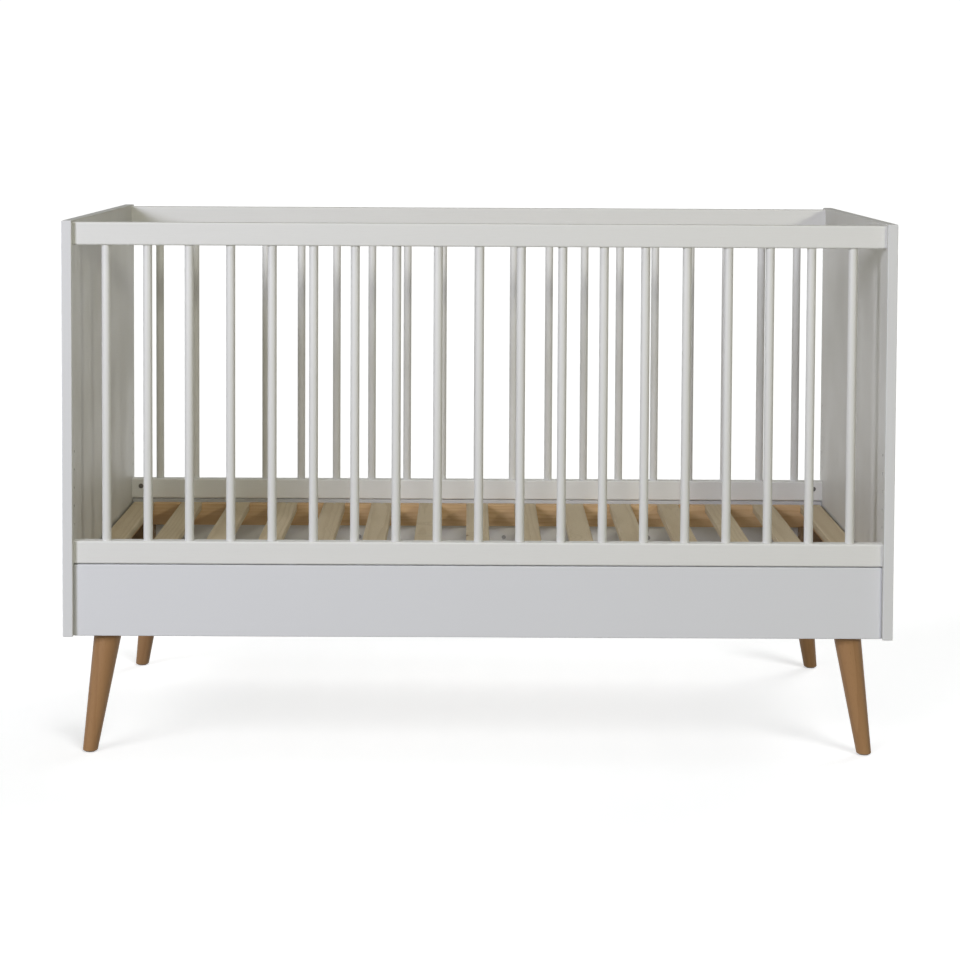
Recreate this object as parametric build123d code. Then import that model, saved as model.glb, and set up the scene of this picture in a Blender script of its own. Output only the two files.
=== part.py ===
from build123d import *
import os

# A baby cot bed for a 700 x 1400 mm mattress. Two solid end panels carry two barred sides, with
# a closed lower panel under each side, and a slatted mattress base lies between them on corner
# blocks. The whole stands on four turned legs that splay outwards. The slatted base is the one
# piece that moves: it is lifted to a higher level while the baby is small.
#
# Frame: the origin is on the floor under the middle of the cot. +X runs along the cot, -Y is the
# front, +Z is up. All sizes are in millimetres.

# ---- overall sizes ----
LENGTH = 1456.0
DEPTH = 776.0
HEIGHT = 946.0
PANEL_T = 18.0
UNDERSIDE = 215.0
PANEL_EASE = 1.8

# ---- barred sides ----
RECESS = 11.5
RAIL_T = 25.0
RAIL_H = 40.0
RAIL_EASE = 3.0
TOP_RAIL_TOP = 943.0
LOW_RAIL_Z = 343.0
BARS = 19
BAR_PITCH = 72.6
BAR_R = 8.0
BAR_SEAT = 10.0

# ---- closed lower panels ----
LOWER_PANEL_T = 18.0
SHADOW_GAP = 1.5

# ---- slatted base ----
BASE_Z = 292.0
BASE_TOP = 336.0
BASE_GAP = 4.0
REST_GAP = 0.3
BASE_RAIL_W = 22.0
SLATS = 15
SLAT_PITCH = 97.7
SLAT_W = 44.0
SLAT_T = 14.0
SLAT_EASE = 1.5
BASE_RAIL_EASE = 1.0
BRAD_LENGTH = 30.0
BRAD_HEAD_R = 2.4
BRAD_HEAD_H = 1.2
BRAD_R = 1.1
BRAD_DRIVE = 0.6

# ---- corner blocks, leg bearers and legs ----
BLOCK_X = 48.0
BLOCK_Y = 45.0
BLOCK_EASE = 2.0
BEARER_W = 120.0
BEARER_T = 22.0
PLATE_T = 3.0
PLATE = 66.0
PLATE_CORNER_R = 6.0
LEG_TOP_GAP = 2.0
LEG_TOP_X = 657.0
LEG_TOP_Y = 322.0
LEG_FOOT_X = 688.0
LEG_FOOT_Y = 338.0
LEG_TOP_R = 24.5
LEG_FOOT_R = 13.1
FOOT_EASE = 2.5
GLIDE_R = 9.0
GLIDE_T = 2.0
GLIDE_EASE = 0.5
LEG_PAST_CUT = 12.0
LEG_BOLT_R = 4.0
LEG_BOLT_IN_LEG = 38.0
LEG_BOLT_ABOVE = 20.0

# ---- fasteners and fits ----
FIT = 0.15
PAST = 1.0
BOLT_R = 3.0
BOLT_HEAD_R = 7.2
BOLT_HEAD_H = 3.6
BOLT_LENGTH = 52.0
NUT_R = 5.0
NUT_FROM_END = 18.0
NUT_SINK = 2.0
NUT_SLOT_W = 1.2
NUT_SLOT_DEEP = 1.2
LOW_BOLT_UP = 4.5
SCREW_R = 2.2
SCREW_HEAD_R = 4.2
SCREW_HEAD_H = 2.6
HEX_DRIVE = 2.6
SCREW_DRIVE = 1.5
PANEL_SCREW_LENGTH = 58.0
PANEL_SCREW_IN = 31.0
BLOCK_SCREW_LENGTH = 56.0
BLOCK_SCREW_IN = 14.0
BLOCK_SCREW_BACK = 32.0
BLOCK_SCREW_APART = 18.0
BEARER_SCREW_LENGTH = 56.0
BEARER_SCREW_Y = 180.0
SIDE_SCREW_LENGTH = 14.0
SIDE_SCREW_PROUD = 2.0
SIDE_SCREW_X = (-243.0, 55.0, 353.0)
SIDE_SCREW_Z = 264.0
PLATE_SCREW_LENGTH = 18.0
PLATE_SCREW_IN = 9.0
PLATE_SCREW_SUNK = 0.8
HOLE_R = 3.0
HOLE_DEPTH = 12.0
HOLE_PITCH = 32.0
HOLES = 5
FIRST_HOLE_Z = 411.0

# ---- places worked out from the sizes above ----
INNER_X = LENGTH / 2 - PANEL_T
RAIL_FACE = DEPTH / 2 - RECESS
RAIL_Y = RAIL_FACE - RAIL_T / 2
LOWER_Y = RAIL_FACE - LOWER_PANEL_T / 2
LOWER_BACK = RAIL_FACE - LOWER_PANEL_T
LOWER_TOP = LOW_RAIL_Z - SHADOW_GAP
TOP_RAIL_Z = TOP_RAIL_TOP - RAIL_H
BASE_X = INNER_X - BASE_GAP
BASE_Y = RAIL_FACE - RAIL_T - BASE_GAP
BEARER_Z = UNDERSIDE + LEG_TOP_GAP + PLATE_T
BEARER_TOP = BEARER_Z + BEARER_T
LEG_TOP_Z = UNDERSIDE + LEG_TOP_GAP
ENDS = (-1, 1)
CORNERS = [(sx, sy) for sy in ENDS for sx in ENDS]
END_NAMES = {-1: "left", 1: "right"}
SIDE_NAMES = {-1: "front", 1: "back"}

os.makedirs("parts", exist_ok=True)


def block(x, y, z):
    """A rectangular solid between two limits on each axis."""
    size = [high - low for low, high in (x, y, z)]
    middle = [(low + high) / 2 for low, high in (x, y, z)]
    return Pos(*middle) * Box(*size)


def eased(solid, radius, axis=None):
    """The solid with its edges rounded: all of them, or only those along one axis."""
    edges = solid.edges() if axis is None else solid.edges().filter_by(axis)
    return fillet(edges, radius)


def span(sign, near, far):
    """The two limits of a stretch from near to far, on the side that sign gives."""
    return tuple(sorted((sign * near, sign * far)))


def rod(start, way, radius, length):
    """A round bar that starts at a point and runs the way given."""
    upright = Cylinder(radius, length, align=(Align.CENTER, Align.CENTER, Align.MIN))
    return Plane(origin=start, z_dir=way) * upright


def fastener(start, way, length, head_r, head_h, shank_r, drive_r):
    """A screw or bolt: its head's outer face is at the start, and its shank runs the way given."""
    head = rod(start, way, head_r, head_h)
    shank = rod(start, way, shank_r, length)
    drive = extrude(Plane(origin=start, z_dir=way) * RegularPolygon(drive_r, 6), head_h * 0.6)
    return head + shank - drive


def fastener_bore(start, way, length, head_r, head_h, shank_r):
    """The hole that such a fastener sits in, a little wider all round and open at its mouth."""
    back = Vector(*start) - Vector(*way).normalized() * PAST
    mouth = rod(back, way, head_r + FIT, head_h + PAST + FIT)
    return mouth + rod(back, way, shank_r + FIT, length + PAST + FIT)


def save(node, *solids):
    """Write one sub-part, which may be a group of like solids, to its own file."""
    shape = solids[0] if len(solids) == 1 else Compound(children=[s.solid() for s in solids])
    shape.label = node
    export_step(shape, f"parts/{node}.step")


# ---- the fasteners' places, with the holes that they need in the wood ----

BOLT = (BOLT_LENGTH, BOLT_HEAD_R, BOLT_HEAD_H, BOLT_R)
SCREW_HEAD = (SCREW_HEAD_R, SCREW_HEAD_H, SCREW_R)


def rail_bolt_place(end, side, z):
    """A rail bolt's head is let in 1 mm below the end panel's outer face."""
    return (end * (LENGTH / 2 - 1.0), side * RAIL_Y, z), (-end, 0, 0)


RAIL_LEVELS = (LOW_RAIL_Z + RAIL_H / 2 + LOW_BOLT_UP, TOP_RAIL_Z + RAIL_H / 2)
RAIL_BOLTS = [rail_bolt_place(end, side, z) for side in ENDS for end in ENDS for z in RAIL_LEVELS]

PANEL_SCREW_LEVELS = (UNDERSIDE + PANEL_SCREW_IN, LOWER_TOP - PANEL_SCREW_IN)
PANEL_SCREWS = [
    ((end * LENGTH / 2, side * LOWER_Y, z), (-end, 0, 0))
    for side in ENDS
    for end in ENDS
    for z in PANEL_SCREW_LEVELS
]

BLOCK_MID_Z = (BEARER_TOP + BASE_Z) / 2
BLOCK_SCREW_HIGH = BLOCK_MID_Z + BLOCK_SCREW_APART / 2
BLOCK_SCREW_LOW = BLOCK_MID_Z - BLOCK_SCREW_APART / 2


def block_screw_places(sx, sy):
    """Each corner block has one screw into the end panel and one into the lower panel."""
    end_start = (sx * (INNER_X - BLOCK_X), sy * (LOWER_BACK - BLOCK_SCREW_IN), BLOCK_SCREW_HIGH)
    side_start = (sx * (INNER_X - BLOCK_SCREW_BACK), sy * (LOWER_BACK - BLOCK_Y), BLOCK_SCREW_LOW)
    return [(end_start, (sx, 0, 0)), (side_start, (0, sy, 0))]


BLOCK_SCREWS = [place for sx, sy in CORNERS for place in block_screw_places(sx, sy)]

BEARER_SCREWS = [
    ((end * LENGTH / 2, y, BEARER_Z + BEARER_T / 2), (-end, 0, 0))
    for end in ENDS
    for y in (-BEARER_SCREW_Y, 0.0, BEARER_SCREW_Y)
]

SIDE_SCREWS = [((x, LOWER_BACK - SIDE_SCREW_PROUD, SIDE_SCREW_Z), (0, 1, 0)) for x in SIDE_SCREW_X]


def fasteners(places, length, head_r, head_h, shank_r, drive_r):
    """One screw or bolt at each place."""
    return [fastener(at, way, length, head_r, head_h, shank_r, drive_r) for at, way in places]


def bores(places, length, head_r, head_h, shank_r):
    """The hole for each of those screws or bolts."""
    return [fastener_bore(at, way, length, head_r, head_h, shank_r) for at, way in places]


PANEL_BORES = bores(PANEL_SCREWS, PANEL_SCREW_LENGTH, *SCREW_HEAD)
BLOCK_BORES = bores(BLOCK_SCREWS, BLOCK_SCREW_LENGTH, *SCREW_HEAD)
BEARER_BORES = bores(BEARER_SCREWS, BEARER_SCREW_LENGTH, *SCREW_HEAD)
BOLT_BORES = bores(RAIL_BOLTS, *BOLT)
SIDE_BORES = bores(SIDE_SCREWS, SIDE_SCREW_LENGTH, *SCREW_HEAD)


def near(tools, end=None, side=None):
    """The tools that lie at one end or on one side of the cot."""
    picked = tools
    if end is not None:
        picked = [tool for tool in picked if tool.center().X * end > 0]
    if side is not None:
        picked = [tool for tool in picked if tool.center().Y * side > 0]
    return picked


# ---- end panels ----


def shelf_holes(end):
    """Rows of blind holes in the inner face, in line with the bars, for a guard rail's fixings."""
    starts = [
        (end * (INNER_X - PAST), side * RAIL_Y, FIRST_HOLE_Z + HOLE_PITCH * step)
        for side in ENDS
        for step in range(HOLES)
    ]
    return [rod(start, (end, 0, 0), HOLE_R, HOLE_DEPTH + PAST) for start in starts]


def end_panel(end):
    """A solid panel that is the cot's whole end, with its holes for bolts and screws."""
    plain = block(span(end, INNER_X, LENGTH / 2), (-DEPTH / 2, DEPTH / 2), (UNDERSIDE, HEIGHT))
    panel = eased(plain, PANEL_EASE)
    panel -= near(BOLT_BORES + PANEL_BORES + BLOCK_BORES + BEARER_BORES, end=end)
    return panel - shelf_holes(end)


for end in ENDS:
    save(f"{END_NAMES[end]}_end_panel", end_panel(end))

# ---- barred sides: two rails with round bars glued into blind holes ----

BAR_X = [BAR_PITCH * (index - (BARS - 1) / 2) for index in range(BARS)]
BAR_LOW = LOW_RAIL_Z + RAIL_H - BAR_SEAT
BAR_HIGH = TOP_RAIL_Z + BAR_SEAT


def nut_place(end, side, z, upright):
    """A barrel nut goes in from the rail's underside, or from its inner face."""
    x = end * (INNER_X - NUT_FROM_END)
    if upright:
        return (x, side * RAIL_Y, z - RAIL_H / 2 + NUT_SINK), (0, 0, 1), RAIL_H * 0.7
    return (x, side * (RAIL_Y - RAIL_T / 2 + NUT_SINK), z), (0, side, 0), RAIL_T * 0.7


NUTS = [
    nut_place(end, side, z, upright=z > HEIGHT / 2)
    for side in ENDS
    for end in ENDS
    for z in RAIL_LEVELS
]


def barrel_nut(start, way, length):
    """A round nut across the bolt, with a slot to turn it by."""
    slot = Plane(origin=start, z_dir=way) * Box(2 * NUT_R, NUT_SLOT_W, 2 * NUT_SLOT_DEEP)
    return rod(start, way, NUT_R, length) - slot


def nut_bore(start, way, length):
    """The nut sits a little below the wood's face, so its hole starts further out."""
    back = Vector(*start) - Vector(*way) * (NUT_SINK + PAST)
    return rod(back, way, NUT_R + FIT, length + NUT_SINK + PAST + FIT)


NUT_BORES = [nut_bore(*place) for place in NUTS]


def rail(side, low_z):
    """A long rail, with blind seats for the bars and holes for its bolts and barrel nuts."""
    across = span(side, RAIL_FACE - RAIL_T, RAIL_FACE)
    body = eased(block((-INNER_X, INNER_X), across, (low_z, low_z + RAIL_H)), RAIL_EASE, Axis.X)
    seat_length = BAR_HIGH - BAR_LOW + 2 * FIT
    seats = [rod((x, side * RAIL_Y, BAR_LOW - FIT), (0, 0, 1), BAR_R + FIT, seat_length) for x in BAR_X]
    level = low_z + RAIL_H / 2
    holes = near(BOLT_BORES + NUT_BORES, side=side)
    return body - seats - [hole for hole in holes if abs(hole.center().Z - level) < RAIL_H]


def bars(side):
    """One side's row of round bars."""
    return [rod((x, side * RAIL_Y, BAR_LOW), (0, 0, 1), BAR_R, BAR_HIGH - BAR_LOW) for x in BAR_X]


for side in ENDS:
    save(f"{SIDE_NAMES[side]}_top_rail", rail(side, TOP_RAIL_Z))
    save(f"{SIDE_NAMES[side]}_bottom_rail", rail(side, LOW_RAIL_Z))
    save(f"{SIDE_NAMES[side]}_bars", *bars(side))

# ---- closed lower panels ----


def lower_panel(side):
    """The closed panel that hides the slatted base from outside."""
    plain = block((-INNER_X, INNER_X), span(side, LOWER_BACK, RAIL_FACE), (UNDERSIDE, LOWER_TOP))
    panel = eased(plain, PANEL_EASE)
    return panel - near(PANEL_BORES + BLOCK_BORES + SIDE_BORES, side=side)


for side in ENDS:
    save(f"{SIDE_NAMES[side]}_lower_panel", lower_panel(side))

# ---- slatted base: notched side rails, end rails and slats, nailed together ----

SLAT_X = [SLAT_PITCH * (index - (SLATS - 1) / 2) for index in range(SLATS)]
BASE_LOW = BASE_Z + REST_GAP
SLAT_Z = BASE_TOP - SLAT_T
BRAD_Y = BASE_Y - BASE_RAIL_W / 2
BRADS = [((x, side * BRAD_Y, BASE_TOP), (0, 0, -1)) for side in ENDS for x in SLAT_X]
BRAD_BORES = bores(BRADS, BRAD_LENGTH, BRAD_HEAD_R, BRAD_HEAD_H, BRAD_R)


def slat_notch(x, side):
    """Where a slat crosses a side rail. The last slats' notches run out through the rail's ends."""
    half = SLAT_W / 2 + FIT
    outer = BASE_X + PAST
    low_x = -outer if x - half < PAST - BASE_X else x - half
    high_x = outer if x + half > BASE_X - PAST else x + half
    across = (side * BASE_Y - BASE_RAIL_W - PAST, side * BASE_Y + BASE_RAIL_W + PAST)
    return block((low_x, high_x), across, (SLAT_Z, BASE_TOP + PAST))


def base_side_rail(side):
    """A long rail, notched so that the slats lie flush with its top."""
    across = span(side, BASE_Y - BASE_RAIL_W, BASE_Y)
    body = eased(block((-BASE_X, BASE_X), across, (BASE_LOW, BASE_TOP)), BASE_RAIL_EASE, Axis.X)
    return body - [slat_notch(x, side) for x in SLAT_X] - near(BRAD_BORES, side=side)


def base_end_rail(end):
    """A short rail that ties the two long ones together under the last slat."""
    reach = BASE_Y - BASE_RAIL_W
    body = block(span(end, BASE_X - BASE_RAIL_W, BASE_X), (-reach, reach), (BASE_LOW, SLAT_Z))
    return eased(body, BASE_RAIL_EASE, Axis.Y)


def slat(x, tools):
    """A flat slat across the base, with a hole for each of its nails."""
    body = block((x - SLAT_W / 2, x + SLAT_W / 2), (-BASE_Y, BASE_Y), (SLAT_Z, BASE_TOP))
    return eased(body, SLAT_EASE, Axis.Y) - tools


for side in ENDS:
    save(f"base_{SIDE_NAMES[side]}_rail", base_side_rail(side))

for end in ENDS:
    save(f"base_{END_NAMES[end]}_rail", base_end_rail(end))

for index, x in enumerate(SLAT_X):
    tools = [tool for tool in BRAD_BORES if abs(tool.center().X - x) < SLAT_W / 2]
    save(f"slat_{index + 1:02d}", slat(x, tools))

save("slat_brads", *fasteners(BRADS, BRAD_LENGTH, BRAD_HEAD_R, BRAD_HEAD_H, BRAD_R, BRAD_DRIVE))

# ---- corner blocks: they lock each corner together and carry the slatted base ----


def corner_block(sx, sy):
    """A block that fills the corner between the bearer and the slatted base."""
    along = span(sx, INNER_X - BLOCK_X, INNER_X)
    across = span(sy, LOWER_BACK - BLOCK_Y, LOWER_BACK)
    body = eased(block(along, across, (BEARER_TOP, BASE_Z)), BLOCK_EASE, Axis.Z)
    return body - near(BLOCK_BORES, end=sx, side=sy)


for sx, sy in CORNERS:
    save(f"{SIDE_NAMES[sy]}_{END_NAMES[sx]}_corner_block", corner_block(sx, sy))

# ---- legs: turned tapers on a slant, screwed through a steel plate into the bearer above ----

PLATE_SCREW_AT = PLATE / 2 - PLATE_SCREW_IN


def leg_axis(sx, sy):
    """The two ends of the leg's centre line, and the way that it runs, upwards."""
    top = Vector(sx * LEG_TOP_X, sy * LEG_TOP_Y, LEG_TOP_Z)
    foot = Vector(sx * LEG_FOOT_X, sy * LEG_FOOT_Y, GLIDE_T)
    return top, foot, (top - foot).normalized()


def leg_bolt(sx, sy, wider):
    """The stud that runs from the leg up through its plate, or its hole if made wider."""
    top, foot, way = leg_axis(sx, sy)
    length = LEG_BOLT_IN_LEG + LEG_BOLT_ABOVE + 2 * wider
    return rod(top - way * (LEG_BOLT_IN_LEG + wider), way, LEG_BOLT_R + wider, length)


def leg(sx, sy):
    """The taper runs a little past both ends and is cut level, top and bottom."""
    top, foot, way = leg_axis(sx, sy)
    length = (top - foot).length
    slope = (LEG_TOP_R - LEG_FOOT_R) / length
    upright = Cone(
        LEG_FOOT_R - slope * LEG_PAST_CUT,
        LEG_TOP_R + slope * LEG_PAST_CUT,
        length + 2 * LEG_PAST_CUT,
        align=(Align.CENTER, Align.CENTER, Align.MIN),
    )
    taper = Plane(origin=foot - way * LEG_PAST_CUT, z_dir=way) * upright
    level = block(span(sx, 0, LENGTH), span(sy, 0, DEPTH), (GLIDE_T, LEG_TOP_Z))
    body = taper & level
    body = fillet(body.edges().group_by(Axis.Z)[0], FOOT_EASE)
    return body - leg_bolt(sx, sy, FIT)


def plate_screw_places(sx, sy):
    """Four screws hold each plate up against the bearer."""
    x, y, z = sx * LEG_TOP_X, sy * LEG_TOP_Y, LEG_TOP_Z - PLATE_SCREW_SUNK
    offsets = [(PLATE_SCREW_AT * i, PLATE_SCREW_AT * j) for i in ENDS for j in ENDS]
    return [((x + dx, y + dy, z), (0, 0, 1)) for dx, dy in offsets]


PLATE_SCREWS = [place for sx, sy in CORNERS for place in plate_screw_places(sx, sy)]
PLATE_BORES = bores(PLATE_SCREWS, PLATE_SCREW_LENGTH, *SCREW_HEAD)
LEG_BOLT_BORES = [leg_bolt(sx, sy, FIT) for sx, sy in CORNERS]


def leg_plate(sx, sy):
    """A steel plate between the leg and the bearer."""
    x, y = sx * LEG_TOP_X, sy * LEG_TOP_Y
    half = PLATE / 2
    body = block((x - half, x + half), (y - half, y + half), (LEG_TOP_Z, BEARER_Z))
    body = eased(body, PLATE_CORNER_R, Axis.Z)
    return body - near(PLATE_BORES + LEG_BOLT_BORES, end=sx, side=sy)


def leg_bearer(end):
    """A board across the end, between the lower panels, that two legs are screwed into."""
    along = span(end, INNER_X - BEARER_W, INNER_X)
    body = block(along, (-LOWER_BACK, LOWER_BACK), (BEARER_Z, BEARER_TOP))
    return body - near(PLATE_BORES + LEG_BOLT_BORES + BEARER_BORES, end=end)


def glide(sx, sy):
    """A nylon disc under the foot."""
    body = rod((sx * LEG_FOOT_X, sy * LEG_FOOT_Y, 0), (0, 0, 1), GLIDE_R, GLIDE_T)
    return chamfer(body.edges().group_by(Axis.Z)[0], GLIDE_EASE)


for sx, sy in CORNERS:
    save(f"{SIDE_NAMES[sy]}_{END_NAMES[sx]}_leg", leg(sx, sy))

for end in ENDS:
    save(f"{END_NAMES[end]}_leg_bearer", leg_bearer(end))

save("leg_plates", *[leg_plate(sx, sy) for sx, sy in CORNERS])
save("leg_bolts", *[leg_bolt(sx, sy, 0.0) for sx, sy in CORNERS])
save("foot_glides", *[glide(sx, sy) for sx, sy in CORNERS])

# ---- fasteners ----


def pierced_nut(place):
    """The bolt that crosses this nut runs through its own clear hole."""
    return barrel_nut(*place) - BOLT_BORES


save("rail_bolts", *fasteners(RAIL_BOLTS, *BOLT, HEX_DRIVE))
save("barrel_nuts", *[pierced_nut(place) for place in NUTS])
save("panel_screws", *fasteners(PANEL_SCREWS, PANEL_SCREW_LENGTH, *SCREW_HEAD, SCREW_DRIVE))
save("block_screws", *fasteners(BLOCK_SCREWS, BLOCK_SCREW_LENGTH, *SCREW_HEAD, SCREW_DRIVE))
save("bearer_screws", *fasteners(BEARER_SCREWS, BEARER_SCREW_LENGTH, *SCREW_HEAD, SCREW_DRIVE))
save("plate_screws", *fasteners(PLATE_SCREWS, PLATE_SCREW_LENGTH, *SCREW_HEAD, SCREW_DRIVE))
save("side_screws", *fasteners(SIDE_SCREWS, SIDE_SCREW_LENGTH, *SCREW_HEAD, SCREW_DRIVE))
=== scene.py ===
# %% [markdown]
# # A white cot bed with turned wooden legs
#
# This lesson dresses a cot bed that was designed in CAD. The design gives every rail, panel and
# slat its place and size. What is left is what the eye wants: lacquer that looks sprayed on wood,
# pine with its rings and knots, legs turned from brown oak, and the soft light of a studio.
#
# Everything is in metres. +X runs along the cot, -Y is its front and +Z is up.

# %% Load the frame
import math
import random

import bpy
from mathutils import Matrix, Vector


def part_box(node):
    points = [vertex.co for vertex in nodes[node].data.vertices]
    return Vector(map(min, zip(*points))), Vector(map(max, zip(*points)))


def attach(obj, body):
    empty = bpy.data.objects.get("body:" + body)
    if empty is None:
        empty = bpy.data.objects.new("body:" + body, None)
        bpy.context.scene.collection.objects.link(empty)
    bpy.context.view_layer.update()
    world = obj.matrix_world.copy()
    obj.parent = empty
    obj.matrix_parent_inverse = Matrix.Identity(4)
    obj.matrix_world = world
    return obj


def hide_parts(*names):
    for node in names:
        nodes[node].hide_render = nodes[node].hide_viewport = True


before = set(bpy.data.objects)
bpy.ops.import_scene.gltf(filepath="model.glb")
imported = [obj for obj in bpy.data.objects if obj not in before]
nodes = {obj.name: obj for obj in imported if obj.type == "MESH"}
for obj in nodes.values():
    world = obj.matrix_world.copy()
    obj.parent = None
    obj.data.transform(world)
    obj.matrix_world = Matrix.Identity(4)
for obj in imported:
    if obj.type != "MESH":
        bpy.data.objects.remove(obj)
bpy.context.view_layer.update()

# %% [markdown]
# ## Small helpers
#
# An operator works on whatever is selected, and loading the design leaves all of it selected. So
# each new piece starts from an empty selection. Faces and edges are then picked by where they lie,
# which is how a person picks them with the mouse. A finished piece gives up its own place, turn
# and size to its mesh, so that its object sits at the origin as every design piece does.

# %% Helpers for selecting
MM = 0.001
TINY = 1e-6


def deselect_all():
    """Leave nothing selected and nothing active, in object mode."""
    bpy.ops.object.select_all(action="DESELECT")
    bpy.context.view_layer.objects.active = None


def active_piece(name):
    """Name the object that an operator has just made."""
    piece = bpy.context.view_layer.objects.active
    piece.name = name
    piece.data.name = name
    return piece


def pick_faces(piece, wanted):
    """In edit mode, select just the faces for which wanted(centre, normal) is true."""
    bpy.ops.mesh.select_mode(type="FACE")
    bpy.ops.mesh.select_all(action="DESELECT")
    bpy.ops.object.mode_set(mode="OBJECT")
    for face in piece.data.polygons:
        face.select = bool(wanted(face.center, face.normal))
    bpy.ops.object.mode_set(mode="EDIT")


def pick_edges(piece, wanted):
    """In edit mode, select just the edges for which wanted(end, other_end) is true."""
    bpy.ops.mesh.select_mode(type="EDGE")
    bpy.ops.mesh.select_all(action="DESELECT")
    bpy.ops.object.mode_set(mode="OBJECT")
    points = piece.data.vertices
    for edge in piece.data.edges:
        edge.select = bool(wanted(points[edge.vertices[0]].co, points[edge.vertices[1]].co))
    bpy.ops.object.mode_set(mode="EDIT")


deselect_all()
print("selected now:", len(bpy.context.selected_objects), "objects")

# %% Helpers for finishing a piece


def settle(piece, angle=35.0):
    """Put the piece's place into its mesh, and smooth corners gentler than the angle."""
    deselect_all()
    piece.select_set(True)
    bpy.context.view_layer.objects.active = piece
    bpy.ops.object.transform_apply(location=True, rotation=True, scale=True)
    bpy.ops.object.shade_smooth_by_angle(angle=math.radians(angle))
    deselect_all()
    return piece


def moved_copy(piece, name, move):
    """A copy with its own mesh, moved by a matrix that goes into that mesh."""
    copy = bpy.data.objects.new(name, piece.data.copy())
    copy.data.name = name
    copy.data.transform(move)
    bpy.context.scene.collection.objects.link(copy)
    return copy


def middle(node):
    """The middle of the box round a design piece."""
    low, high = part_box(node)
    return (low + high) / 2


print("sizes are in metres, and a millimetre is", MM)

# %% [markdown]
# A material, a shader group and the studio's own glow are each a sheet of nodes. A sheet reads
# best when each line of code places one node and says what comes in, so these helpers do that.

# %% Helpers for nodes
SHEET_STEP = 190


def add(tree, kind, place, settings=None, **inputs):
    """A new node at a place on the sheet, with its settings and its unlinked inputs."""
    made = tree.nodes.new("ShaderNode" + kind)
    made.location = (place[0] * SHEET_STEP, place[1] * SHEET_STEP)
    for key, value in (settings or {}).items():
        setattr(made, key, value)
    for key, value in inputs.items():
        made.inputs[key.replace("_", " ")].default_value = value
    return made


def math_node(tree, place, operation, a, b=None, clamp=False):
    """A Math node whose inputs may be numbers or other sockets."""
    made = add(tree, "Math", place, {"operation": operation, "use_clamp": clamp})
    for socket, value in zip(made.inputs, (a, b)):
        if value is None:
            continue
        if isinstance(value, (int, float)):
            socket.default_value = value
        else:
            tree.links.new(value, socket)
    return made.outputs[0]


def ramp(tree, place, low, high, value):
    """A mask that rises smoothly from 0 at low to 1 at high."""
    made = add(tree, "MapRange", place, {"interpolation_type": "SMOOTHSTEP"})
    made.inputs["From Min"].default_value = low
    made.inputs["From Max"].default_value = high
    tree.links.new(value, made.inputs["Value"])
    return made.outputs["Result"]


print("nodes stand", SHEET_STEP, "units apart on their sheet")

# %% Helpers for patterns and colours
# A Mix node that mixes colours keeps its two colours and its result at these places.
MIX_A, MIX_B, MIX_RESULT = 6, 7, 2


def stretched(tree, place, point, shrink):
    """A point whose X is shrunk, so that a pattern read there is drawn out along X."""
    made = add(tree, "VectorMath", place, {"operation": "MULTIPLY"})
    made.inputs[1].default_value = (shrink, 1.0, 1.0)
    tree.links.new(point, made.inputs[0])
    return made.outputs[0]


def noise(tree, place, point, **inputs):
    """Soft random values from 0 to 1, read at a point."""
    made = add(tree, "TexNoise", place, **inputs)
    tree.links.new(point, made.inputs["Vector"])
    return made.outputs["Fac"]


def cells(tree, place, point, scale):
    """How far a point is from the heart of its random cell."""
    made = add(tree, "TexVoronoi", place, Scale=scale)
    tree.links.new(point, made.inputs["Vector"])
    return made.outputs["Distance"]


def blend_colour(tree, place, factor, first, second, kind="MIX"):
    """Two colours mixed by a mask. Each may be four numbers or a socket."""
    made = add(tree, "Mix", place, {"data_type": "RGBA", "blend_type": kind})
    tree.links.new(factor, made.inputs["Factor"])
    for socket, value in ((made.inputs[MIX_A], first), (made.inputs[MIX_B], second)):
        if isinstance(value, tuple):
            socket.default_value = value
        else:
            tree.links.new(value, socket)
    return made.outputs[MIX_RESULT]


print("a Mix node's colours are its inputs", MIX_A, "and", MIX_B)

# %% [markdown]
# ## The camera
#
# The camera stands before the middle of the cot's long side, at chest height, with a long lens, so
# that the two ends lean in only a little. The lens looks almost level, which keeps the uprights
# upright, and the film is shifted down to bring the feet into view, as an architect's camera does.

# %% Camera
CAMERA_AT = (-0.0153, -4.560, 1.129)
CAMERA_TILT = 2.919
CAMERA_TURN = -0.211
CAMERA_ROLL = 0.295
FILM_WIDTH = 36.0
LENS_LENGTH = 90.1
FILM_SHIFT = -0.2504
SEE_AS_FAR_AS = 200.0

camera_data = bpy.data.cameras.new("camera")
camera_data.sensor_width = FILM_WIDTH
camera_data.lens = LENS_LENGTH
camera_data.shift_y = FILM_SHIFT
camera_data.clip_end = SEE_AS_FAR_AS
camera = bpy.data.objects.new("camera", camera_data)
turn = Matrix.Rotation(math.radians(CAMERA_TURN), 4, "Z")
tilt = Matrix.Rotation(math.radians(90.0 - CAMERA_TILT), 4, "X")
roll = Matrix.Rotation(math.radians(CAMERA_ROLL), 4, "Z")
camera.matrix_world = Matrix.Translation(CAMERA_AT) @ turn @ tilt @ roll
bpy.context.scene.collection.objects.link(camera)
bpy.context.scene.camera = camera
print("lens", LENS_LENGTH, "mm, shift", FILM_SHIFT)

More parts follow.
